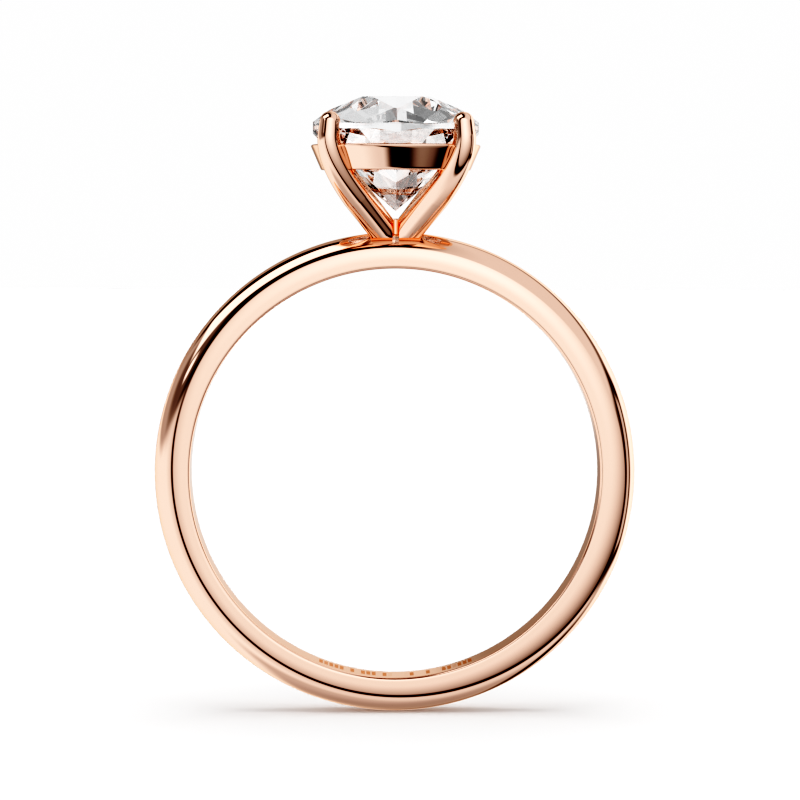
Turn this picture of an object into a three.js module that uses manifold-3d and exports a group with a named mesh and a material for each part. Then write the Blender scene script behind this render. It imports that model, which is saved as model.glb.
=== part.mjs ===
// A four-claw solitaire engagement ring: a polished rose-gold shank carrying a raised head
// that holds one cushion-cut stone. Units are millimetres.
//
// The origin is the centre of the finger hole. +Y runs along the finger, +X to the right of
// the hand-on view and +Z up through the stone. Touching pieces keep a hair-line joint gap.

import * as THREE from 'three';
import { mergeVertices } from 'three/addons/utils/BufferGeometryUtils.js';
import Module from 'manifold-3d';

// ---- driving dimensions ----

const JOINT_GAP = 0.02;

// The shank: a band with a flat inner wall, eased inner edges and flat sides that turn into
// an elliptical dome.
const FINGER_RADIUS = 8.25;
const DOME_START_RADIUS = 8.60;
const CREST_RADIUS = 9.70;
const BAND_HALF_WIDTH = 0.90;
const INNER_EDGE_ROUND = 0.12;
const SHANK_STEPS = 80;

// The peg: the short post under the head, let into a blind hole in the shank's crest.
const PEG_RADIUS = 0.32;
const PEG_BOTTOM = 9.15;
const PEG_TOP = 10.25;

// The claws: round wires leaning out from the peg, then turning upright past the girdle.
const CLAW_FOOT_RADIUS = 0.58;
const CLAW_SHOULDER_RADIUS = 0.60;
const CLAW_NECK_RADIUS = 0.44;
const CLAW_TIP_RADIUS = 0.41;
const CLAW_FOOT = [0.05, 9.20];
const CLAW_BEND_START = [2.20, 11.135];
const CLAW_BEND_CORNER = [3.83, 12.60];
const CLAW_BEND_END = [3.77, 13.50];
const CLAW_TOP = [3.71, 14.46];
const CLAW_UNDERSIDE = 9.48;
const FOOT_GAP = 0.26;
const CLAW_SIDES = 16;

// The gallery rail: a tapering band around the pavilion, rounder in plan than the stone.
const RAIL_BOTTOM = 12.18;
const RAIL_TOP = 13.20;
const RAIL_BOTTOM_HALF_WIDTH = 3.00;
const RAIL_TOP_HALF_WIDTH = 3.44;
const RAIL_BOTTOM_WALL = 0.50;
const RAIL_TOP_WALL = 0.48;
const RAIL_EDGE_ROUND = 0.07;
const RAIL_POWER = 2.3;
const RAIL_STEPS = 72;

// The stone: a square cushion, cut as a brilliant. Angles are from the girdle plane.
const STONE_HALF_WIDTH = 3.33;
const CUSHION_POWER = 2.6;
const GIRDLE_BOTTOM = 13.79;
const GIRDLE_TOP = 14.00;
const TABLE_HEIGHT = 15.10;
const CULET_HEIGHT = 10.55;
const TABLE_SIDE_DISTANCE = 1.35;
const TABLE_CORNER_DISTANCE = 1.66;
const STAR_ANGLE = 21;
const UPPER_GIRDLE_ANGLE = 37;
const LOWER_GIRDLE_ANGLE = 46;
const OUTLINE_STEPS = 96;

const QUARTER_TURN = Math.PI / 2;
const EIGHTH_TURN = Math.PI / 4;

// ---- materials ----

const roseGold = new THREE.MeshStandardMaterial({
  color: 0xe6b497,
  roughness: 0.12,
  metalness: 1,
});
const diamond = new THREE.MeshStandardMaterial({
  color: 0xf2f5f8,
  roughness: 0.02,
  metalness: 0,
});

// ---- solids ----

const wasm = await Module();
wasm.setup();

// Welds a geometry's shared corners and leaves out the slivers where a profile meets its axis.
function solidFrom(geometry) {
  const bare = geometry.clone();
  bare.deleteAttribute('normal');
  bare.deleteAttribute('uv');
  const welded = mergeVertices(bare, 1e-5);
  const corners = Array.from(welded.index.array);
  const triangles = [];
  for (let i = 0; i < corners.length; i += 3) {
    const [a, b, c] = corners.slice(i, i + 3);
    if (a !== b && b !== c && c !== a) {
      triangles.push(a, b, c);
    }
  }
  return new wasm.Manifold(new wasm.Mesh({
    numProp: 3,
    vertProperties: Float32Array.from(welded.getAttribute('position').array),
    triVerts: Uint32Array.from(triangles),
  }));
}

function meshFrom(name, solid, material) {
  const cut = solid.getMesh();
  const geometry = new THREE.BufferGeometry();
  geometry.setAttribute('position', new THREE.BufferAttribute(cut.vertProperties, 3));
  geometry.setIndex(new THREE.BufferAttribute(cut.triVerts, 1));
  geometry.computeVertexNormals();
  const mesh = new THREE.Mesh(geometry, material);
  mesh.name = name;
  return mesh;
}

function boxBetween(low, high) {
  const size = high.map((value, i) => value - low[i]);
  const middle = high.map((value, i) => (value + low[i]) / 2);
  return solidFrom(new THREE.BoxGeometry(...size).translate(...middle));
}

// ---- the cushion outline ----

// How far a unit cushion of some squareness reaches from its centre at an azimuth.
function cushionReach(azimuth, power) {
  const sum = Math.abs(Math.cos(azimuth)) ** power + Math.abs(Math.sin(azimuth)) ** power;
  return sum ** (-1 / power);
}

// How far out a straight edge facing an azimuth touches the unit cushion.
function cushionSupport(azimuth) {
  const power = CUSHION_POWER / (CUSHION_POWER - 1);
  const sum = Math.abs(Math.cos(azimuth)) ** power + Math.abs(Math.sin(azimuth)) ** power;
  return sum ** (1 / power);
}

// Presses a geometry that is round about Z into a cushion outline.
function cushioned(geometry, power) {
  const position = geometry.getAttribute('position');
  for (let i = 0; i < position.count; i += 1) {
    const x = position.getX(i);
    const y = position.getY(i);
    const reach = cushionReach(Math.atan2(y, x), power);
    position.setXY(i, x * reach, y * reach);
  }
  return geometry;
}

// ---- shank ----

// One half of the band's section, from the inner wall to the crest, as (radius, y) points.
function halfShankSection(growth) {
  const inner = FINGER_RADIUS - growth;
  const side = BAND_HALF_WIDTH + growth;
  const domeRise = CREST_RADIUS + growth - DOME_START_RADIUS;
  const section = new THREE.Path();
  section.moveTo(inner, INNER_EDGE_ROUND - side);
  section.quadraticCurveTo(inner, -side, inner + INNER_EDGE_ROUND, -side);
  section.lineTo(DOME_START_RADIUS, -side);
  section.absellipse(DOME_START_RADIUS, 0, domeRise, side, -QUARTER_TURN, 0, false);
  return section;
}

function shankBlank(growth) {
  const half = halfShankSection(growth).getPoints(5);
  const mirrored = half.slice(0, -1).reverse().map((p) => new THREE.Vector2(p.x, -p.y));
  const outline = [...half, ...mirrored, half[0].clone()];
  return solidFrom(new THREE.LatheGeometry(outline, SHANK_STEPS));
}

function pegCylinder(growth) {
  const height = PEG_TOP - PEG_BOTTOM + growth;
  const cylinder = new THREE.CylinderGeometry(PEG_RADIUS + growth, PEG_RADIUS + growth, height, 24);
  cylinder.rotateX(QUARTER_TURN);
  cylinder.translate(0, 0, PEG_BOTTOM - growth + height / 2);
  return solidFrom(cylinder);
}

function shankSolid() {
  return shankBlank(0).subtract(pegCylinder(JOINT_GAP));
}

// ---- stone ----

function cushionBlank() {
  const outline = new THREE.Shape();
  for (let i = 0; i < OUTLINE_STEPS; i += 1) {
    const azimuth = (2 * Math.PI * (i + 0.5)) / OUTLINE_STEPS;
    const reach = STONE_HALF_WIDTH * cushionReach(azimuth, CUSHION_POWER);
    const x = reach * Math.cos(azimuth);
    const y = reach * Math.sin(azimuth);
    if (i === 0) {
      outline.moveTo(x, y);
    } else {
      outline.lineTo(x, y);
    }
  }
  outline.closePath();
  const depth = TABLE_HEIGHT - CULET_HEIGHT;
  const blank = new THREE.ExtrudeGeometry(outline, { depth, bevelEnabled: false });
  return solidFrom(blank.translate(0, 0, CULET_HEIGHT));
}

// Everything beyond a facet: the facet faces an azimuth at a slope from the girdle plane and
// passes through the point at (distance, height) in that azimuth's upright plane.
function beyondFacet(azimuth, slope, distance, height) {
  const reach = 20;
  const waste = new THREE.BoxGeometry(reach, reach, reach);
  waste.translate(0, 0, reach / 2);
  waste.rotateY(slope);
  waste.rotateZ(azimuth);
  waste.translate(distance * Math.cos(azimuth), distance * Math.sin(azimuth), height);
  return solidFrom(waste);
}

function degrees(angle) {
  return THREE.MathUtils.degToRad(angle);
}

// Every facet as [azimuth, slope, distance, height]; slopes past a quarter turn face down.
function brilliantFacets() {
  const facets = [];
  const mainSupport = STONE_HALF_WIDTH * cushionSupport(EIGHTH_TURN / 2);
  const crown = TABLE_HEIGHT - GIRDLE_TOP;
  const tableCorner = TABLE_SIDE_DISTANCE * Math.cos(EIGHTH_TURN / 2)
    + (Math.SQRT2 * TABLE_CORNER_DISTANCE - TABLE_SIDE_DISTANCE) * Math.sin(EIGHTH_TURN / 2);
  const bezelSlope = Math.atan(crown / (mainSupport - tableCorner));
  const pavilionSlope = Math.atan((GIRDLE_BOTTOM - CULET_HEIGHT) / mainSupport);
  for (let i = 0; i < 8; i += 1) {
    const star = i * EIGHTH_TURN;
    const main = star + EIGHTH_TURN / 2;
    const starDistance = i % 2 === 0 ? TABLE_SIDE_DISTANCE : TABLE_CORNER_DISTANCE;
    facets.push([star, degrees(STAR_ANGLE), starDistance, TABLE_HEIGHT]);
    facets.push([main, bezelSlope, mainSupport, GIRDLE_TOP]);
    facets.push([main, Math.PI - pavilionSlope, mainSupport, GIRDLE_BOTTOM]);
  }
  for (let i = 0; i < 16; i += 1) {
    const azimuth = (i + 0.5) * (EIGHTH_TURN / 2);
    const support = STONE_HALF_WIDTH * cushionSupport(azimuth);
    facets.push([azimuth, degrees(UPPER_GIRDLE_ANGLE), support, GIRDLE_TOP]);
    facets.push([azimuth, Math.PI - degrees(LOWER_GIRDLE_ANGLE), support, GIRDLE_BOTTOM]);
  }
  return facets;
}

function stoneSolid() {
  let stone = cushionBlank();
  for (const facet of brilliantFacets()) {
    stone = stone.subtract(beyondFacet(...facet));
  }
  return stone;
}

// ---- claws ----

// A claw's centre line as (distance from the head's axis, height), foot to tip.
function clawPath() {
  const path = new THREE.Path();
  path.moveTo(...CLAW_FOOT);
  path.lineTo(...CLAW_BEND_START);
  path.quadraticCurveTo(...CLAW_BEND_CORNER, ...CLAW_BEND_END);
  path.lineTo(...CLAW_TOP);
  return path;
}

// The wire's radius at a distance along its path: it thins from foot to tip, most in the bend.
function clawRadius(along, path) {
  const stops = [0, ...path.getCurveLengths()];
  const radii = [CLAW_FOOT_RADIUS, CLAW_SHOULDER_RADIUS, CLAW_NECK_RADIUS, CLAW_TIP_RADIUS];
  const next = Math.max(1, stops.findIndex((stop) => stop >= along));
  const share = (along - stops[next - 1]) / (stops[next] - stops[next - 1]);
  return THREE.MathUtils.lerp(radii[next - 1], radii[next], share);
}

// A straight wire along Y with a half-ball tip, the given amount thicker than a claw.
function clawWire(path, growth) {
  const tip = CLAW_TIP_RADIUS + growth;
  const top = path.getLength() + growth;
  const rings = 22;
  const profile = [new THREE.Vector2(0, 0)];
  for (let i = 0; i <= rings; i += 1) {
    const along = ((top - tip) * i) / rings;
    profile.push(new THREE.Vector2(clawRadius(along, path) + growth, along));
  }
  const tipSteps = 6;
  for (let i = 1; i < tipSteps; i += 1) {
    const angle = (i / tipSteps) * QUARTER_TURN;
    const rise = tip * Math.sin(angle);
    profile.push(new THREE.Vector2(tip * Math.cos(angle), top - tip + rise));
  }
  profile.push(new THREE.Vector2(0, top));
  return new THREE.LatheGeometry(profile, CLAW_SIDES);
}

// Bends a straight wire onto the claw's path, in the upright plane at an azimuth.
function bentToPath(wire, path, azimuth) {
  const length = path.getLength();
  const outward = new THREE.Vector3(Math.cos(azimuth), Math.sin(azimuth), 0);
  const up = new THREE.Vector3(0, 0, 1);
  const across = outward.clone().cross(up);
  const position = wire.getAttribute('position');
  for (let i = 0; i < position.count; i += 1) {
    const along = position.getY(i);
    const share = THREE.MathUtils.clamp(along / length, 0, 1);
    const centre = path.getPointAt(share);
    const tangent = path.getTangentAt(share);
    const inPlane = position.getX(i);
    const beyondEnd = along - share * length;
    const point = new THREE.Vector3()
      .addScaledVector(outward, centre.x + tangent.y * inPlane + tangent.x * beyondEnd)
      .addScaledVector(up, centre.y - tangent.x * inPlane + tangent.y * beyondEnd)
      .addScaledVector(across, position.getZ(i));
    position.setXYZ(i, point.x, point.y, point.z);
  }
  return wire;
}

function clawBlank(azimuth, growth) {
  const path = clawPath();
  const wire = clawWire(path, growth);
  return solidFrom(bentToPath(wire, path, azimuth));
}

// The quarter of space that one claw keeps to: neighbouring feet stay apart, showing the peg
// between them, and every foot is cut level just under the shank's crest.
function quarterAt(azimuth) {
  const signs = [Math.sign(Math.cos(azimuth)), Math.sign(Math.sin(azimuth))];
  const near = FOOT_GAP / 2;
  const far = 6;
  const low = signs.map((sign) => (sign > 0 ? near : -far));
  const high = signs.map((sign) => (sign > 0 ? far : -near));
  return boxBetween([...low, CLAW_UNDERSIDE], [...high, 16]);
}

// A claw is trimmed to its quarter, seated on the shank and the peg, and notched for the stone.
function clawSolid(azimuth, stone) {
  const seatScale = 1 + JOINT_GAP / STONE_HALF_WIDTH;
  const seatHeight = (GIRDLE_TOP + GIRDLE_BOTTOM) / 2;
  const seat = stone
    .translate([0, 0, -seatHeight])
    .scale([seatScale, seatScale, seatScale])
    .translate([0, 0, seatHeight]);
  return clawBlank(azimuth, 0)
    .intersect(quarterAt(azimuth))
    .subtract(shankBlank(JOINT_GAP))
    .subtract(pegCylinder(JOINT_GAP))
    .subtract(seat);
}

// ---- gallery rail ----

function railBlank() {
  const topInner = RAIL_TOP_HALF_WIDTH - RAIL_TOP_WALL;
  const bottomInner = RAIL_BOTTOM_HALF_WIDTH - RAIL_BOTTOM_WALL;
  const flare = (RAIL_TOP_HALF_WIDTH - RAIL_BOTTOM_HALF_WIDTH) / (RAIL_TOP - RAIL_BOTTOM);
  const edgeFlare = flare * RAIL_EDGE_ROUND;
  const section = [
    [bottomInner, RAIL_BOTTOM],
    [RAIL_BOTTOM_HALF_WIDTH - RAIL_EDGE_ROUND, RAIL_BOTTOM],
    [RAIL_BOTTOM_HALF_WIDTH + edgeFlare, RAIL_BOTTOM + RAIL_EDGE_ROUND],
    [RAIL_TOP_HALF_WIDTH - edgeFlare, RAIL_TOP - RAIL_EDGE_ROUND],
    [RAIL_TOP_HALF_WIDTH - RAIL_EDGE_ROUND, RAIL_TOP],
    [topInner, RAIL_TOP],
    [bottomInner, RAIL_BOTTOM],
  ];
  const outline = section.map(([radius, height]) => new THREE.Vector2(radius, height));
  const round = new THREE.LatheGeometry(outline, RAIL_STEPS).rotateX(QUARTER_TURN);
  return solidFrom(cushioned(round, RAIL_POWER));
}

function railSolid(azimuths) {
  return azimuths.reduce(
    (rail, azimuth) => rail.subtract(clawBlank(azimuth, JOINT_GAP)),
    railBlank(),
  );
}

// ---- the ring ----

const CLAWS = [
  { name: 'claw_front_left', azimuth: -3 * EIGHTH_TURN },
  { name: 'claw_front_right', azimuth: -EIGHTH_TURN },
  { name: 'claw_back_right', azimuth: EIGHTH_TURN },
  { name: 'claw_back_left', azimuth: 3 * EIGHTH_TURN },
];

function buildRing() {
  const ring = new THREE.Group();
  const head = new THREE.Group();
  const stone = stoneSolid();
  ring.add(meshFrom('shank', shankSolid(), roseGold));
  head.add(meshFrom('head_peg', pegCylinder(0), roseGold));
  for (const claw of CLAWS) {
    head.add(meshFrom(claw.name, clawSolid(claw.azimuth, stone), roseGold));
  }
  const azimuths = CLAWS.map((claw) => claw.azimuth);
  head.add(meshFrom('gallery_rail', railSolid(azimuths), roseGold));
  head.add(meshFrom('centre_stone', stone, diamond));
  ring.add(head);
  return ring;
}

export default buildRing();
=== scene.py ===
"""A polished rose-gold solitaire ring with a cushion-cut stone, dressed over its CAD frame."""
import math

import bmesh
import bpy
from mathutils import Matrix, Vector


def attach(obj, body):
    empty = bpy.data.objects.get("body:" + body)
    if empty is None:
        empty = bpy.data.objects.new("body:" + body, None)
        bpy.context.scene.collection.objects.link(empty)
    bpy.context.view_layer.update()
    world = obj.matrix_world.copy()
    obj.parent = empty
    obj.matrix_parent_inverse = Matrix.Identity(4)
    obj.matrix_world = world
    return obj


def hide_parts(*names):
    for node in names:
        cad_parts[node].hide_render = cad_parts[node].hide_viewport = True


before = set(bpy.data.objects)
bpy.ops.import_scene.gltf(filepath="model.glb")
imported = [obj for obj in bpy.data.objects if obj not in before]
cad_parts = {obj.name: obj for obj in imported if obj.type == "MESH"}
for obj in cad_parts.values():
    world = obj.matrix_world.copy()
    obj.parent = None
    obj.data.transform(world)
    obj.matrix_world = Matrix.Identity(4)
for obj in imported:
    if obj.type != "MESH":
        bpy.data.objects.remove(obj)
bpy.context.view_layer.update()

# ---- sizes, in millimetres, in the CAD frame: finger hole at the origin, +Z up ----

MM = 0.001

FINGER_RADIUS = 8.25
DOME_START_RADIUS = 8.60
CREST_RADIUS = 9.70
BAND_HALF_WIDTH = 0.90
INNER_EDGE_ROUND = 0.12
BAND_STEPS = 480
HALF_DOME_STEPS = 40
EDGE_POINTS = 6
FLANK_POINTS = 4
INNER_WALL_POINTS = 6

CLAW_FOOT_RADIUS = 0.58
CLAW_SHOULDER_RADIUS = 0.60
CLAW_NECK_RADIUS = 0.44
CLAW_TIP_RADIUS = 0.41
CLAW_FOOT = (0.05, 9.20)
CLAW_BEND_START = (2.20, 11.135)
CLAW_BEND_CORNER = (3.83, 12.60)
CLAW_BEND_END = (3.77, 13.50)
CLAW_TOP = (3.71, 14.46)
CLAW_UNDERSIDE = 9.48
FOOT_GAP = 0.26
FOOT_EASE = 0.2
FOOT_EASE_STEPS = 4
FOOT_ZONE_HEIGHT = 1.0
FOOT_CREASE_ANGLE = 25.0
LEG_STEPS = 3
BEND_STEPS = 60
NECK_STEPS = 12
TIP_STEPS = 14
CLAW_SIDES = 64
CLAW_AZIMUTHS = {
    "claw_front_left": -135.0,
    "claw_front_right": -45.0,
    "claw_back_right": 45.0,
    "claw_back_left": 135.0,
}
SEAT_CLEARANCE = 0.01

PEG_RADIUS = 0.32
PEG_BOTTOM = 9.15
PEG_TOP = 10.25
PEG_EASE = 0.05
PEG_SIDES = 48

RAIL_BOTTOM = 12.18
RAIL_TOP = 13.20
RAIL_BOTTOM_HALF_WIDTH = 3.00
RAIL_TOP_HALF_WIDTH = 3.44
RAIL_BOTTOM_WALL = 0.50
RAIL_TOP_WALL = 0.48
RAIL_EDGE_ROUND = 0.07
RAIL_POWER = 2.3
RAIL_STEPS = 240
RAIL_ROUND_POINTS = 6
RAIL_FACE_POINTS = 11
RAIL_RIM_POINTS = 3
RAIL_INSIDE_POINTS = 4

# A cushion is the curve |x|^power + |y|^power = 1: a circle at 2, squarer above it.
STONE_HALF_WIDTH = 3.33
CUSHION_POWER = 2.6
GIRDLE_BOTTOM = 13.79
GIRDLE_TOP = 14.00
TABLE_HEIGHT = 15.10
CULET_HEIGHT = 10.55
TABLE_SIDE_DISTANCE = 1.35
TABLE_CORNER_DISTANCE = 1.66
STAR_ANGLE = 21.0
UPPER_GIRDLE_ANGLE = 37.0
LOWER_GIRDLE_ANGLE = 46.0
MAIN_FACETS = 8
GIRDLE_FACETS = 2 * MAIN_FACETS
OUTLINE_STEPS = 192

SHARP_ANGLE = 35.0

# The row of struck marks inside the band: its middle and length in degrees round the hole.
MARK_MIDDLE = -90.0
MARK_SPAN = 46.0
MARK_COUNT = 30
MARK_HALF_HEIGHT = 0.4
# A stroke is there where its step's random number, from 0 to 1, is past these two limits: faint
# between them. It fills the middle of its step, with edges between these shares from either end.
MARK_PRESENCE = (0.25, 0.35)
MARK_EDGES = (0.1, 0.18)

# Colours of light that the metal, the stone and the floor give back, as red, green, blue, alpha.
GOLD_DEEP = (0.98, 0.68, 0.56, 1)
GOLD_PALE = (0.99, 0.7, 0.58, 1)
GOLD_EDGE_TINT = (0.95, 0.79, 0.68, 1)
# Painted shade: the struck strokes are coloured darker and redder in place of the shade in their
# recesses.
MARK_SHADE_COLOUR = (0.72, 0.3, 0.14, 1)
STONE_COOL = (0.985, 0.99, 1.0, 1)
STONE_NEUTRAL = (1.0, 1.0, 1.0, 1)
STONE_REFRACTION = 2.417
FLOOR_DULL = (0.9, 0.9, 0.9, 1)
FLOOR_BRIGHT = (0.92, 0.92, 0.92, 1)

# The materials' noise: features to the metre, the part of its range that tells, and the
# roughness at both ends of that part.
GOLD_CLOUD_SCALE = 500.0
GOLD_CLOUD_RANGE = (0.3, 0.7)
GOLD_LINE_SCALE = 9000.0
GOLD_ROUGHNESS = (0.025, 0.05)
MARK_ROUGHNESS = 0.3
LINE_BUMP_STRENGTH = 0.02
LINE_BUMP_HEIGHT = 0.002
STONE_HAZE_SCALE = 900.0
STONE_HAZE_RANGE = (0.45, 0.8)
STONE_ROUGHNESS = (0.0, 0.006)
FLOOR_GRAIN_SCALE = 60.0

FLOOR_HALF_SIZE = 600.0

# The camera: where it stands, its turn in degrees, and its lens.
CAMERA_PLACE = (-1.77, -120.0, 10.82)
CAMERA_YAW = 0.94
CAMERA_PITCH = -3.76
CAMERA_ROLL = 0.16
CAMERA_LENS = 134.0
CAMERA_SENSOR = 36.0
CAMERA_NEAREST = 1.0
CAMERA_FARTHEST = 10000.0

# The print's tone curve: light from the scene, and the light shown for it.
TONES = [
    (0.0, 0.0),
    (0.1, 0.003),
    (0.15, 0.024),
    (0.2, 0.08),
    (0.3, 0.23),
    (0.5, 0.54),
    (0.7, 0.785),
    (0.85, 0.91),
    (1.0, 0.995),
]

# How often light may bounce, in all and off metal; the stone needs many to look deep.
LIGHT_BOUNCES = 24
METAL_BOUNCES = 12


# ---- meshes ----

def add_piece(name, mesh, material, node):
    """Puts a finished mesh in the scene as the piece that stands for a CAD node."""
    piece = bpy.data.objects.new(name, mesh)
    bpy.context.collection.objects.link(piece)
    mesh.materials.clear()
    mesh.materials.append(material)
    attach(piece, "root")
    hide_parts(node)
    return piece


def mesh_from_rings(name, rings, closed_ends=False):
    """A skin over a closed loop of rings, or over an open row of them with a flat cap at each end."""
    count = len(rings[0])
    vertices = [point for ring in rings for point in ring]
    faces = []
    last = len(rings) - 1 if closed_ends else len(rings)
    for k in range(last):
        here = k * count
        there = ((k + 1) % len(rings)) * count
        for j in range(count):
            follow = (j + 1) % count
            faces.append((here + j, here + follow, there + follow, there + j))
    if closed_ends:
        faces.append(tuple(range(count - 1, -1, -1)))
        faces.append(tuple(range(last * count, (last + 1) * count)))
    mesh = bpy.data.meshes.new(name)
    mesh.from_pydata([Vector(v) * MM for v in vertices], [], faces)
    mesh.validate()
    return mesh


def slice_off(work, point, normal):
    """Takes off everything beyond a plane and closes the cut with one flat face."""
    parts = work.verts[:] + work.edges[:] + work.faces[:]
    cut = bmesh.ops.bisect_plane(
        work, geom=parts, dist=1e-9, plane_co=point, plane_no=normal, clear_outer=True
    )
    rim = [part for part in cut["geom_cut"] if isinstance(part, bmesh.types.BMEdge)]
    open_rim = [edge for edge in rim if edge.is_boundary]
    bmesh.ops.contextual_create(work, geom=open_rim)


def smooth(mesh):
    """Shades a mesh round, apart from its sharp edges."""
    mesh.shade_smooth()
    mesh.set_sharp_from_angle(angle=math.radians(SHARP_ANGLE))


def outward(mesh):
    """Turns every face of a closed mesh to look out."""
    work = bmesh.new()
    work.from_mesh(mesh)
    bmesh.ops.recalc_face_normals(work, faces=work.faces)
    work.to_mesh(mesh)
    work.free()


def arc(centre, radii, start, end, points):
    """Points of an elliptical arc between two angles in degrees, both ends included."""
    steps = [start + (end - start) * k / (points - 1) for k in range(points)]
    return [
        (
            centre[0] + radii[0] * math.cos(math.radians(angle)),
            centre[1] + radii[1] * math.sin(math.radians(angle)),
        )
        for angle in steps
    ]


def straight(start, end, points):
    """Points between two ends, neither included."""
    return [
        tuple(a + (b - a) * k / (points + 1) for a, b in zip(start, end))
        for k in range(1, points + 1)
    ]


def full_turn(steps):
    """Equally spaced angles all the way round, in radians."""
    return [2 * math.pi * k / steps for k in range(steps)]


# ---- the cushion outline ----

def cushion_reach(azimuth, power):
    """How far a unit cushion of some squareness reaches from its centre at an azimuth."""
    total = abs(math.cos(azimuth)) ** power + abs(math.sin(azimuth)) ** power
    return total ** (-1 / power)


def cushion_support(azimuth):
    """How far out a straight edge facing an azimuth touches the unit cushion."""
    power = CUSHION_POWER / (CUSHION_POWER - 1)
    total = abs(math.cos(azimuth)) ** power + abs(math.sin(azimuth)) ** power
    return total ** (1 / power)


# ---- shank ----

def band_section():
    """The band's closed section as (radius, y), from the inner wall's front end round the dome."""
    side = BAND_HALF_WIDTH
    edge = INNER_EDGE_ROUND
    rise = CREST_RADIUS - DOME_START_RADIUS
    low_edge = arc((FINGER_RADIUS + edge, edge - side), (edge, edge), 180, 270, EDGE_POINTS)
    dome = arc((DOME_START_RADIUS, 0), (rise, side), -90, 90, 2 * HALF_DOME_STEPS + 1)
    high_edge = [(radius, -y) for radius, y in reversed(low_edge)]
    section = low_edge + straight(low_edge[-1], dome[0], FLANK_POINTS) + dome
    section += straight(dome[-1], high_edge[0], FLANK_POINTS) + high_edge
    return section + straight(high_edge[-1], low_edge[0], INNER_WALL_POINTS)


def shank_mesh():
    """The band: its section turned round the finger hole."""
    section = band_section()
    rings = []
    for angle in full_turn(BAND_STEPS):
        rings.append([(r * math.cos(angle), y, r * math.sin(angle)) for r, y in section])
    mesh = mesh_from_rings("shank", rings)
    outward(mesh)
    smooth(mesh)
    return mesh


# ---- claws ----

def mix(a, b, share):
    """A point part of the way from one to another."""
    return tuple(p + (q - p) * share for p, q in zip(a, b))


def claw_path():
    """The claw's centre line and radius: (distance from the axis, height, radius), foot to tip."""
    foot = (*CLAW_FOOT, CLAW_FOOT_RADIUS)
    shoulder = (*CLAW_BEND_START, CLAW_SHOULDER_RADIUS)
    neck = (*CLAW_BEND_END, CLAW_NECK_RADIUS)
    tip_centre = (CLAW_TOP[0], CLAW_TOP[1] - CLAW_TIP_RADIUS, CLAW_TIP_RADIUS)
    middle_radius = (CLAW_SHOULDER_RADIUS + CLAW_NECK_RADIUS) / 2
    corner = (*CLAW_BEND_CORNER, middle_radius)
    leg = [mix(foot, shoulder, k / LEG_STEPS) for k in range(LEG_STEPS)]
    bend = []
    for k in range(BEND_STEPS):
        share = k / BEND_STEPS
        bend.append(mix(mix(shoulder, corner, share), mix(corner, neck, share), share))
    return leg + bend + [mix(neck, tip_centre, k / NECK_STEPS) for k in range(NECK_STEPS + 1)]


def claw_rings(azimuth):
    """Rings around the claw's centre line, closing to a half-ball tip."""
    path = claw_path()
    out = Vector((math.cos(azimuth), math.sin(azimuth), 0))
    up = Vector((0, 0, 1))
    across = out.cross(up)
    rings = []

    def ring(centre, along, radius):
        normal = out * along[1] - up * along[0]
        middle = out * centre[0] + up * centre[1]
        rings.append(
            [middle + normal * (radius * math.cos(t)) + across * (radius * math.sin(t))
             for t in full_turn(CLAW_SIDES)]
        )

    for k, stop in enumerate(path):
        before = path[max(k - 1, 0)]
        after = path[min(k + 1, len(path) - 1)]
        step = Vector((after[0] - before[0], after[1] - before[1])).normalized()
        ring(stop, step, stop[2])
    tip = path[-1]
    for k in range(1, TIP_STEPS):
        angle = math.radians(90 * k / TIP_STEPS)
        centre = (
            tip[0] + step[0] * CLAW_TIP_RADIUS * math.sin(angle),
            tip[1] + step[1] * CLAW_TIP_RADIUS * math.sin(angle),
        )
        ring(centre, step, CLAW_TIP_RADIUS * math.cos(angle))
    return rings


def claw_mesh(name, azimuth, seat):
    """One claw, its foot trimmed and the stone's seat cut into it."""
    mesh = mesh_from_rings(name, claw_rings(azimuth), closed_ends=True)
    outward(mesh)
    trim_foot(mesh, azimuth)
    mesh = cut_by(mesh, seat)
    smooth(mesh)
    return mesh


def trim_foot(mesh, azimuth):
    """Cuts a claw's foot level, apart from its neighbours, and eases the cut edges."""
    work = bmesh.new()
    work.from_mesh(mesh)
    below = Vector((0, 0, -1))
    slice_off(work, below * (-CLAW_UNDERSIDE * MM), below)
    towards_axis_x = Vector((-math.copysign(1, math.cos(azimuth)), 0, 0))
    towards_axis_y = Vector((0, -math.copysign(1, math.sin(azimuth)), 0))
    for inward in (towards_axis_x, towards_axis_y):
        slice_off(work, inward * (-FOOT_GAP / 2 * MM), inward)
    work.normal_update()
    limit = (CLAW_UNDERSIDE + FOOT_ZONE_HEIGHT) * MM
    crease = math.radians(FOOT_CREASE_ANGLE)
    rim = [
        edge for edge in work.edges
        if edge.calc_face_angle(0) > crease and edge.verts[0].co.z < limit
    ]
    bmesh.ops.bevel(
        work, geom=rim, offset=FOOT_EASE * MM, segments=FOOT_EASE_STEPS, profile=0.5,
        affect="EDGES", clamp_overlap=True,
    )
    work.to_mesh(mesh)
    work.free()


def cut_by(mesh, cutter):
    """The mesh with a cutter's volume taken out of it."""
    work = bpy.data.objects.new("work", mesh)
    bpy.context.collection.objects.link(work)
    modifier = work.modifiers.new("cut", "BOOLEAN")
    modifier.object = cutter
    modifier.operation = "DIFFERENCE"
    modifier.solver = "MANIFOLD"
    evaluated = work.evaluated_get(bpy.context.evaluated_depsgraph_get())
    result = bpy.data.meshes.new_from_object(evaluated)
    result.name = mesh.name
    bpy.data.objects.remove(work)
    return result


# ---- peg ----

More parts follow.
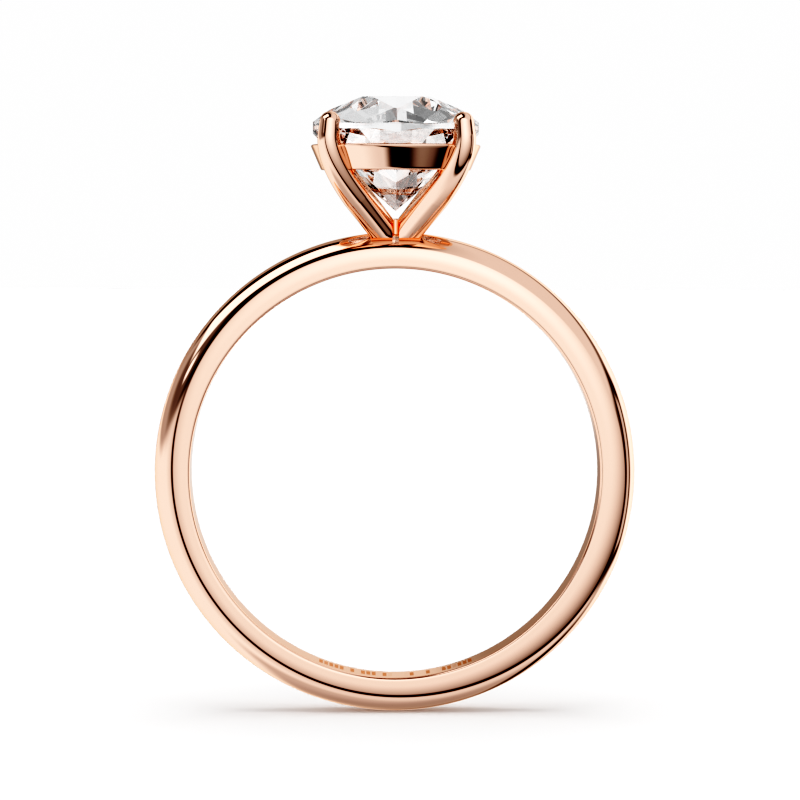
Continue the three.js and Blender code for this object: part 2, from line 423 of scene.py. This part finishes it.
def peg_mesh():
    """A turned post with eased ends."""
    profile = [
        (PEG_RADIUS - PEG_EASE, PEG_BOTTOM),
        (PEG_RADIUS, PEG_BOTTOM + PEG_EASE),
        (PEG_RADIUS, PEG_TOP - PEG_EASE),
        (PEG_RADIUS - PEG_EASE, PEG_TOP),
    ]
    turns = full_turn(PEG_SIDES)
    rings = []
    for radius, height in profile:
        rings.append([(radius * math.cos(t), radius * math.sin(t), height) for t in turns])
    mesh = mesh_from_rings("head_peg", rings, closed_ends=True)
    outward(mesh)
    smooth(mesh)
    return mesh


# ---- gallery rail ----

def rail_section():
    """The rail's closed section as (half-width, height), its outer edges rounded."""
    edge = RAIL_EDGE_ROUND
    outer_low = (RAIL_BOTTOM_HALF_WIDTH, RAIL_BOTTOM)
    outer_high = (RAIL_TOP_HALF_WIDTH, RAIL_TOP)
    inner_high = (RAIL_TOP_HALF_WIDTH - RAIL_TOP_WALL, RAIL_TOP)
    inner_low = (RAIL_BOTTOM_HALF_WIDTH - RAIL_BOTTOM_WALL, RAIL_BOTTOM)
    lean = math.atan2(outer_high[0] - outer_low[0], outer_high[1] - outer_low[1])
    rise = edge * math.tan(lean)
    inset = edge / math.cos(lean)
    low_centre = (outer_low[0] + rise - inset, outer_low[1] + edge)
    high_centre = (outer_high[0] - rise - inset, outer_high[1] - edge)
    turn = -math.degrees(lean)
    low_round = arc(low_centre, (edge, edge), -90, turn, RAIL_ROUND_POINTS)
    high_round = arc(high_centre, (edge, edge), turn, 90, RAIL_ROUND_POINTS)
    face = straight(low_round[-1], high_round[0], RAIL_FACE_POINTS)
    top = straight(high_round[-1], inner_high, RAIL_RIM_POINTS)
    inside = straight(inner_high, inner_low, RAIL_INSIDE_POINTS)
    underside = straight(inner_low, low_round[0], RAIL_RIM_POINTS)
    return low_round + face + high_round + top + [inner_high] + inside + [inner_low] + underside


def rail_mesh():
    """The rail: its section swept round a cushion plan."""
    section = rail_section()
    rings = []
    for azimuth in full_turn(RAIL_STEPS):
        reach = cushion_reach(azimuth, RAIL_POWER)
        x, y = reach * math.cos(azimuth), reach * math.sin(azimuth)
        rings.append([(x * half, y * half, height) for half, height in section])
    mesh = mesh_from_rings("gallery_rail", rings)
    outward(mesh)
    smooth(mesh)
    return mesh


# ---- stone ----

def brilliant_facets():
    """Every facet as (azimuth, slope, distance, height); slopes past 90 degrees face down."""
    eighth = math.radians(360 / MAIN_FACETS)
    main_support = STONE_HALF_WIDTH * cushion_support(eighth / 2)
    half_edge = math.sqrt(2) * TABLE_CORNER_DISTANCE - TABLE_SIDE_DISTANCE
    table_corner = (
        TABLE_SIDE_DISTANCE * math.cos(eighth / 2) + half_edge * math.sin(eighth / 2)
    )
    bezel = math.atan((TABLE_HEIGHT - GIRDLE_TOP) / (main_support - table_corner))
    pavilion = math.atan((GIRDLE_BOTTOM - CULET_HEIGHT) / main_support)
    facets = []
    for k in range(MAIN_FACETS):
        star = k * eighth
        main = star + eighth / 2
        star_distance = TABLE_CORNER_DISTANCE if k % 2 else TABLE_SIDE_DISTANCE
        facets.append((star, math.radians(STAR_ANGLE), star_distance, TABLE_HEIGHT))
        facets.append((main, bezel, main_support, GIRDLE_TOP))
        facets.append((main, math.pi - pavilion, main_support, GIRDLE_BOTTOM))
    for k in range(GIRDLE_FACETS):
        azimuth = (k + 0.5) * eighth / 2
        support = STONE_HALF_WIDTH * cushion_support(azimuth)
        facets.append((azimuth, math.radians(UPPER_GIRDLE_ANGLE), support, GIRDLE_TOP))
        low_slope = math.pi - math.radians(LOWER_GIRDLE_ANGLE)
        facets.append((azimuth, low_slope, support, GIRDLE_BOTTOM))
    return facets


def cushion_blank():
    """An upright prism of the cushion outline, from the culet's height to the table's."""
    rings = []
    for height in (CULET_HEIGHT, TABLE_HEIGHT):
        ring = []
        for k in range(OUTLINE_STEPS):
            azimuth = 2 * math.pi * (k + 0.5) / OUTLINE_STEPS
            reach = STONE_HALF_WIDTH * cushion_reach(azimuth, CUSHION_POWER)
            ring.append((reach * math.cos(azimuth), reach * math.sin(azimuth), height))
        rings.append(ring)
    return mesh_from_rings("centre_stone", rings, closed_ends=True)


def lap_facet(work, facet):
    """Grinds one flat facet on the stone."""
    azimuth, slope, distance, height = facet
    outward_axis = Vector((math.cos(azimuth), math.sin(azimuth), 0))
    normal = outward_axis * math.sin(slope) + Vector((0, 0, math.cos(slope)))
    point = (outward_axis * distance + Vector((0, 0, height))) * MM
    slice_off(work, point, normal)


def stone_mesh():
    """The stone: a blank with every facet ground on it, one after another."""
    mesh = cushion_blank()
    work = bmesh.new()
    work.from_mesh(mesh)
    for facet in brilliant_facets():
        lap_facet(work, facet)
    bmesh.ops.recalc_face_normals(work, faces=work.faces)
    work.to_mesh(mesh)
    work.free()
    mesh.shade_flat()
    return mesh


def seat_cutter(stone):
    """The stone, very slightly swollen about its girdle, as a tool that cuts the claws."""
    mesh = stone.copy()
    middle = Vector((0, 0, (GIRDLE_TOP + GIRDLE_BOTTOM) / 2)) * MM
    swell = 1 + SEAT_CLEARANCE / STONE_HALF_WIDTH
    for vertex in mesh.vertices:
        vertex.co = middle + (vertex.co - middle) * swell
    cutter = bpy.data.objects.new("seat_cutter", mesh)
    bpy.context.collection.objects.link(cutter)
    return cutter


# ---- materials ----

class Nodes:
    """Shorthand for building a node tree."""

    def __init__(self, tree):
        self.tree = tree
        tree.nodes.clear()

    def add(self, kind, inputs=None, **settings):
        """A node with its inputs linked or set, and its own settings."""
        node = self.tree.nodes.new(kind)
        for key, value in settings.items():
            setattr(node, key, value)
        for key, value in (inputs or {}).items():
            if isinstance(value, bpy.types.NodeSocket):
                self.tree.links.new(value, node.inputs[key])
            else:
                node.inputs[key].default_value = value
        return node

    def math(self, operation, *values):
        """The result of one operation on values or sockets."""
        inputs = dict(enumerate(values))
        return self.add("ShaderNodeMath", inputs, operation=operation).outputs[0]

    def ramp(self, value, low, high, to_low=0.0, to_high=1.0, kind="SMOOTHSTEP"):
        """A step from one level to another as value goes from low to high."""
        node = self.add(
            "ShaderNodeMapRange",
            {"Value": value, "From Min": low, "From Max": high,
             "To Min": to_low, "To Max": to_high},
            interpolation_type=kind,
        )
        return node.outputs["Result"]

    def noise(self, place, scale, detail):
        """Soft random mottling from 0 to 1."""
        inputs = {"Vector": place, "Scale": scale, "Detail": detail}
        return self.add("ShaderNodeTexNoise", inputs).outputs["Fac"]

    def blend(self, share, first, second):
        """A colour part of the way from one to another."""
        inputs = {"Factor": share, "A": first, "B": second}
        return self.add("ShaderNodeMix", inputs, data_type="RGBA").outputs["Result"]

    def level(self, share, first, second):
        """A number part of the way from one to another."""
        inputs = {"Factor": share, "A": first, "B": second}
        return self.add("ShaderNodeMix", inputs).outputs["Result"]


def new_material(name):
    """An empty material, and the shorthand for its nodes."""
    material = bpy.data.materials.new(name)
    material.use_nodes = True
    return material, Nodes(material.node_tree)


def inner_marks(nodes, place):
    """Where the band's inner wall is struck: a row of plain upright strokes with random gaps. Gives
    the mask for their roughness and their painted shade.
    """
    split = nodes.add("ShaderNodeSeparateXYZ", {"Vector": place})
    turn = nodes.math("ARCTAN2", split.outputs["Z"], split.outputs["X"])
    stroke = nodes.math("MULTIPLY", turn, MARK_COUNT / math.radians(MARK_SPAN))
    strength = nodes.add(
        "ShaderNodeTexWhiteNoise", {"W": nodes.math("FLOOR", stroke)}, noise_dimensions="1D"
    ).outputs["Value"]
    present = nodes.ramp(strength, *MARK_PRESENCE)
    narrow = nodes.ramp(nodes.math("PINGPONG", stroke, 0.5), *MARK_EDGES)
    from_middle = nodes.math("ABSOLUTE", nodes.math("SUBTRACT", turn, math.radians(MARK_MIDDLE)))
    half_span = math.radians(MARK_SPAN / 2)
    in_row = nodes.ramp(from_middle, half_span, half_span * 0.98)
    off_middle = nodes.math("ABSOLUTE", split.outputs["Y"])
    in_height = nodes.ramp(off_middle, MARK_HALF_HEIGHT * 1.1 * MM, MARK_HALF_HEIGHT * MM)
    across = nodes.add("ShaderNodeCombineXYZ", {"X": split.outputs["X"], "Y": split.outputs["Z"]})
    reach = nodes.add("ShaderNodeVectorMath", {0: across.outputs["Vector"]}, operation="LENGTH")
    near_wall = (FINGER_RADIUS + INNER_EDGE_ROUND) * MM
    on_wall = nodes.ramp(reach.outputs["Value"], near_wall, FINGER_RADIUS * MM)
    mask = nodes.math("MULTIPLY", present, narrow)
    for limit in (in_row, in_height, on_wall):
        mask = nodes.math("MULTIPLY", mask, limit)
    return mask


def polished_gold():
    """Rose gold: mirror polish, faint cloudiness, hair-fine roughness, and the struck marks, which
    are rougher and carry painted shade.
    """
    material, nodes = new_material("rose_gold")
    place = nodes.add("ShaderNodeTexCoord").outputs["Object"]
    cloud = nodes.noise(place, GOLD_CLOUD_SCALE, 4.0)
    lines = nodes.noise(place, GOLD_LINE_SCALE, 2.0)
    colour = nodes.blend(cloud, GOLD_DEEP, GOLD_PALE)
    marks = inner_marks(nodes, place)
    # Painted shade: inside the strokes the gold takes a darker, redder colour in place of the shade
    # in their recesses.
    colour_with_mark_shade = nodes.blend(marks, colour, MARK_SHADE_COLOUR)
    polish = nodes.ramp(cloud, *GOLD_CLOUD_RANGE, *GOLD_ROUGHNESS)
    roughness = nodes.ramp(marks, 0.0, 1.0, polish, MARK_ROUGHNESS)
    bump = nodes.add(
        "ShaderNodeBump",
        {"Height": lines, "Strength": LINE_BUMP_STRENGTH, "Distance": LINE_BUMP_HEIGHT * MM},
    )
    shader = nodes.add(
        "ShaderNodeBsdfPrincipled",
        {"Base Color": colour_with_mark_shade, "Metallic": 1.0, "Roughness": roughness,
         "Normal": bump.outputs["Normal"], "Specular Tint": GOLD_EDGE_TINT},
    )
    nodes.add("ShaderNodeOutputMaterial", {"Surface": shader.outputs["BSDF"]})
    return material


def clear_stone():
    """A colourless brilliant: very high refractive index, with a trace of haze."""
    material, nodes = new_material("diamond")
    place = nodes.add("ShaderNodeTexCoord").outputs["Object"]
    haze = nodes.noise(place, STONE_HAZE_SCALE, 3.0)
    tint = nodes.blend(haze, STONE_COOL, STONE_NEUTRAL)
    roughness = nodes.ramp(haze, *STONE_HAZE_RANGE, *STONE_ROUGHNESS)
    shader = nodes.add(
        "ShaderNodeBsdfPrincipled",
        {"Base Color": tint, "Roughness": roughness,
         "IOR": STONE_REFRACTION, "Transmission Weight": 1.0},
    )
    nodes.add("ShaderNodeOutputMaterial", {"Surface": shader.outputs["BSDF"]})
    return material


def matte_white():
    """The floor: white and matt, very faintly mottled."""
    material, nodes = new_material("floor_white")
    place = nodes.add("ShaderNodeTexCoord").outputs["Object"]
    grain = nodes.noise(place, FLOOR_GRAIN_SCALE, 2.0)
    colour = nodes.blend(grain, FLOOR_DULL, FLOOR_BRIGHT)
    shader = nodes.add("ShaderNodeBsdfDiffuse", {"Color": colour})
    nodes.add("ShaderNodeOutputMaterial", {"Surface": shader.outputs["BSDF"]})
    return material


# ---- studio ----

# What matt things such as the floor are lit by: a dim room with a bright patch overhead, which
# comes in between two heights of a direction, where 1 is straight up.
OVERHEAD_SPREAD = (0.9, 0.98)
OVERHEAD_LEVELS = (0.66, 4.9)

# What polished metal and the stone reflect: soft boxes, flags and cards laid out on a chart of
# directions. The chart's middle is straight behind the camera, a point's distance from it is
# the angle in degrees away from there, and up on the chart is up in the studio.
# Far off the middle, in front of the camera, a far wall goes from one level at its left to
# another at its right.
ROOM_LEVEL = 1.0
BACKDROP_LEVEL = 1.0
FAR_WALL_START = (150.0, 163.0)
FAR_WALL_SPAN = (-110.0, -10.0)
FAR_WALL_LEVELS = (0.37, 0.78)

# Each card: shape, centre across and up, half-width, half-height, turn, soft edge, level. A card
# hangs in front of those listed before it.
BEHIND_CARDS = [
    # bright backdrop at the right
    ("oval", 130, 20, 45, 130, 0, 18, 1.25),
    # floor in front of the ring, brown where it is nearest
    ("box", 4, -94, 52, 36, 0, 10, 0.56),
    ("oval", 6, -100, 44, 22, 0, 14, 0.4),
    ("oval", 26, -132, 44, 12, 12, 9, 0.34),
    ("oval", 66, -88, 12, 46, -20, 6, 0.08),
    # dark edge round the great front diffuser, and the shade about it
    ("oval", 17, -14, 76, 52, -35, 9, 0.76),
    ("oval", 18.6, -4.2, 66, 48.5, -35, 2.5, 0.08),
    # pale wall at the upper right, between its darker edge and the dark right-hand side
    ("oval", 40, 58, 57, 65, 0, 5, 0.22),
    ("box", 84, -8, 17, 42, 3, 7, 0.10),
    ("oval", 36, 60, 47, 57, -6, 4, 0.74),
    ("box", 84.5, -8, 6, 28, 3, 3, 0.6),
    # dim wall past the soft box, upper left, and its dark gap
    ("oval", -72, 100, 96, 86, -35, 14, 0.42),
    ("oval", -44, 62, 60, 50, 27, 4, 0.07),
    ("oval", -88, 29, 39, 27, 14, 5, 0.46),
    ("oval", -67, 29, 21, 22, 14, 9, 0.2),
]
# The great front diffuser, a card whose level falls evenly from its heart outward.
DIFFUSER_CARD = ("oval", 17, -2.5, 57, 40, -35, 2)
DIFFUSER_HEART = (8, 26)
DIFFUSER_REACH = (8.0, 78.0)
DIFFUSER_LEVELS = (1.3, 0.27)
FRONT_CARDS = [
    # soft box at the upper left, with a small round lamp beside it
    ("box", -48.5, 64, 34, 18, 28, 3.5, 1.4),
    ("oval", -60.5, 25.5, 5, 4.5, 0, 2, 1.35),
]


def card_cover(nodes, chart, card):
    """How far a card covers each direction, from 0 to 1 across its soft edge."""
    shape, across, up, half_width, half_height, turn, soft = card
    local = nodes.add(
        "ShaderNodeMapping",
        {"Vector": chart, "Location": (across, up, 0.0),
         "Rotation": (0.0, 0.0, math.radians(turn)),
         "Scale": (half_width, half_height, 1.0)},
        vector_type="TEXTURE",
    ).outputs["Vector"]
    if shape == "oval":
        reach = nodes.add("ShaderNodeVectorMath", {0: local}, operation="LENGTH")
        edge = soft / min(half_width, half_height)
        return nodes.ramp(reach.outputs["Value"], 1 - edge, 1 + edge, 1.0, 0.0)
    reach = nodes.add("ShaderNodeVectorMath", {0: local}, operation="ABSOLUTE")
    sides = nodes.add("ShaderNodeSeparateXYZ", {"Vector": reach.outputs["Vector"]})
    covers = []
    for axis, half in (("X", half_width), ("Y", half_height)):
        edge = soft / half
        covers.append(nodes.ramp(sides.outputs[axis], 1 - edge, 1 + edge, 1.0, 0.0))
    return nodes.math("MULTIPLY", *covers)


def hang_card(nodes, chart, level, card, brightness):
    """The studio's brightness with one more card hung in front of it."""
    return nodes.level(card_cover(nodes, chart, card), level, brightness)


def studio_level(nodes, direction):
    """The brightness that polished things see of the studio in each direction."""
    split = nodes.add("ShaderNodeSeparateXYZ", {"Vector": direction})
    behind = nodes.math("MULTIPLY", split.outputs["Y"], -1.0)
    off_axis = nodes.math("DEGREES", nodes.math("ARCCOSINE", behind))
    flat = nodes.add(
        "ShaderNodeCombineXYZ", {"X": split.outputs["X"], "Y": split.outputs["Z"]}
    ).outputs["Vector"]
    clock = nodes.add(
        "ShaderNodeVectorMath", {0: flat}, operation="NORMALIZE"
    ).outputs["Vector"]
    chart = nodes.add(
        "ShaderNodeVectorMath", {0: clock, "Scale": off_axis}, operation="SCALE"
    ).outputs["Vector"]
    level = ROOM_LEVEL
    for *card, brightness in BEHIND_CARDS:
        level = hang_card(nodes, chart, level, card, brightness)
    from_heart = nodes.add(
        "ShaderNodeVectorMath", {0: chart, 1: (*DIFFUSER_HEART, 0.0)}, operation="DISTANCE"
    ).outputs["Value"]
    glow = nodes.ramp(from_heart, *DIFFUSER_REACH, *DIFFUSER_LEVELS, kind="LINEAR")
    level = hang_card(nodes, chart, level, DIFFUSER_CARD, glow)
    for *card, brightness in FRONT_CARDS:
        level = hang_card(nodes, chart, level, card, brightness)
    across = nodes.add("ShaderNodeSeparateXYZ", {"Vector": chart}).outputs["X"]
    far_wall = nodes.ramp(across, *FAR_WALL_SPAN, *FAR_WALL_LEVELS)
    return nodes.level(nodes.ramp(off_axis, *FAR_WALL_START), level, far_wall)


def make_world():
    """The studio for reflections, overhead light for matt things, and white for the camera."""
    world = bpy.data.worlds.new("studio")
    bpy.context.scene.world = world
    world.use_nodes = True
    nodes = Nodes(world.node_tree)
    direction = nodes.add("ShaderNodeTexCoord").outputs["Generated"]
    rays = nodes.add("ShaderNodeLightPath")
    mirrored = studio_level(nodes, direction)
    height = nodes.add("ShaderNodeSeparateXYZ", {"Vector": direction}).outputs["Z"]
    overhead = nodes.ramp(height, *OVERHEAD_SPREAD, *OVERHEAD_LEVELS)
    level = nodes.level(rays.outputs["Is Diffuse Ray"], mirrored, overhead)
    level = nodes.level(rays.outputs["Is Camera Ray"], level, BACKDROP_LEVEL)
    background = nodes.add(
        "ShaderNodeBackground", {"Color": (1.0, 1.0, 1.0, 1.0), "Strength": level}
    )
    nodes.add("ShaderNodeOutputWorld", {"Surface": background.outputs["Background"]})


def make_floor():
    """The floor under the ring, which the camera sees and polished things don't mirror."""
    half = FLOOR_HALF_SIZE
    corners = [(-half, -half), (half, -half), (half, half), (-half, half)]
    mesh = bpy.data.meshes.new("floor")
    mesh.from_pydata([Vector((x, y, -CREST_RADIUS)) * MM for x, y in corners], [], [(0, 1, 2, 3)])
    mesh.materials.append(matte_white())
    floor = bpy.data.objects.new("floor", mesh)
    bpy.context.collection.objects.link(floor)
    floor.visible_glossy = False
    floor.visible_transmission = False


def make_camera():
    """The photo's view, from the camera's place, turn and lens."""
    data = bpy.data.cameras.new("camera")
    camera = bpy.data.objects.new("camera", data)
    bpy.context.collection.objects.link(camera)
    data.sensor_width = CAMERA_SENSOR
    data.lens = CAMERA_LENS
    data.clip_start = CAMERA_NEAREST * MM
    data.clip_end = CAMERA_FARTHEST * MM
    camera.location = Vector(CAMERA_PLACE) * MM
    yaw = Matrix.Rotation(math.radians(-CAMERA_YAW), 4, "Z")
    pitch = Matrix.Rotation(math.radians(90 + CAMERA_PITCH), 4, "X")
    roll = Matrix.Rotation(math.radians(CAMERA_ROLL), 4, "Z")
    camera.rotation_euler = (yaw @ pitch @ roll).to_euler()
    bpy.context.scene.camera = camera


def set_grading():
    """A contrasty print: deep shadows, and whites that roll off gently."""
    view = bpy.context.scene.view_settings
    view.view_transform = "Standard"
    view.look = "None"
    view.use_curve_mapping = True
    all_channels = 3
    tones = view.curve_mapping.curves[all_channels]
    tones.points[0].location = TONES[0]
    tones.points[1].location = TONES[-1]
    for light, shown in TONES[1:-1]:
        tones.points.new(light, shown)
    view.curve_mapping.update()


def set_light_paths():
    """Lets light bounce often enough to come back out of the stone."""
    cycles = bpy.context.scene.cycles
    cycles.max_bounces = LIGHT_BOUNCES
    cycles.glossy_bounces = METAL_BOUNCES
    cycles.transmission_bounces = LIGHT_BOUNCES


# ---- the ring ----

def build_ring():
    """Every piece of the ring, each in place of its CAD node."""
    gold = polished_gold()
    add_piece("band", shank_mesh(), gold, "shank")
    add_piece("peg", peg_mesh(), gold, "head_peg")
    add_piece("rail", rail_mesh(), gold, "gallery_rail")
    stone = stone_mesh()
    cutter = seat_cutter(stone)
    for node, azimuth in CLAW_AZIMUTHS.items():
        mesh = claw_mesh(node, math.radians(azimuth), cutter)
        add_piece(node.replace("claw", "prong"), mesh, gold, node)
    bpy.data.objects.remove(cutter)
    add_piece("brilliant", stone, clear_stone(), "centre_stone")


make_camera()
make_world()
make_floor()
set_grading()
set_light_paths()
build_ring()
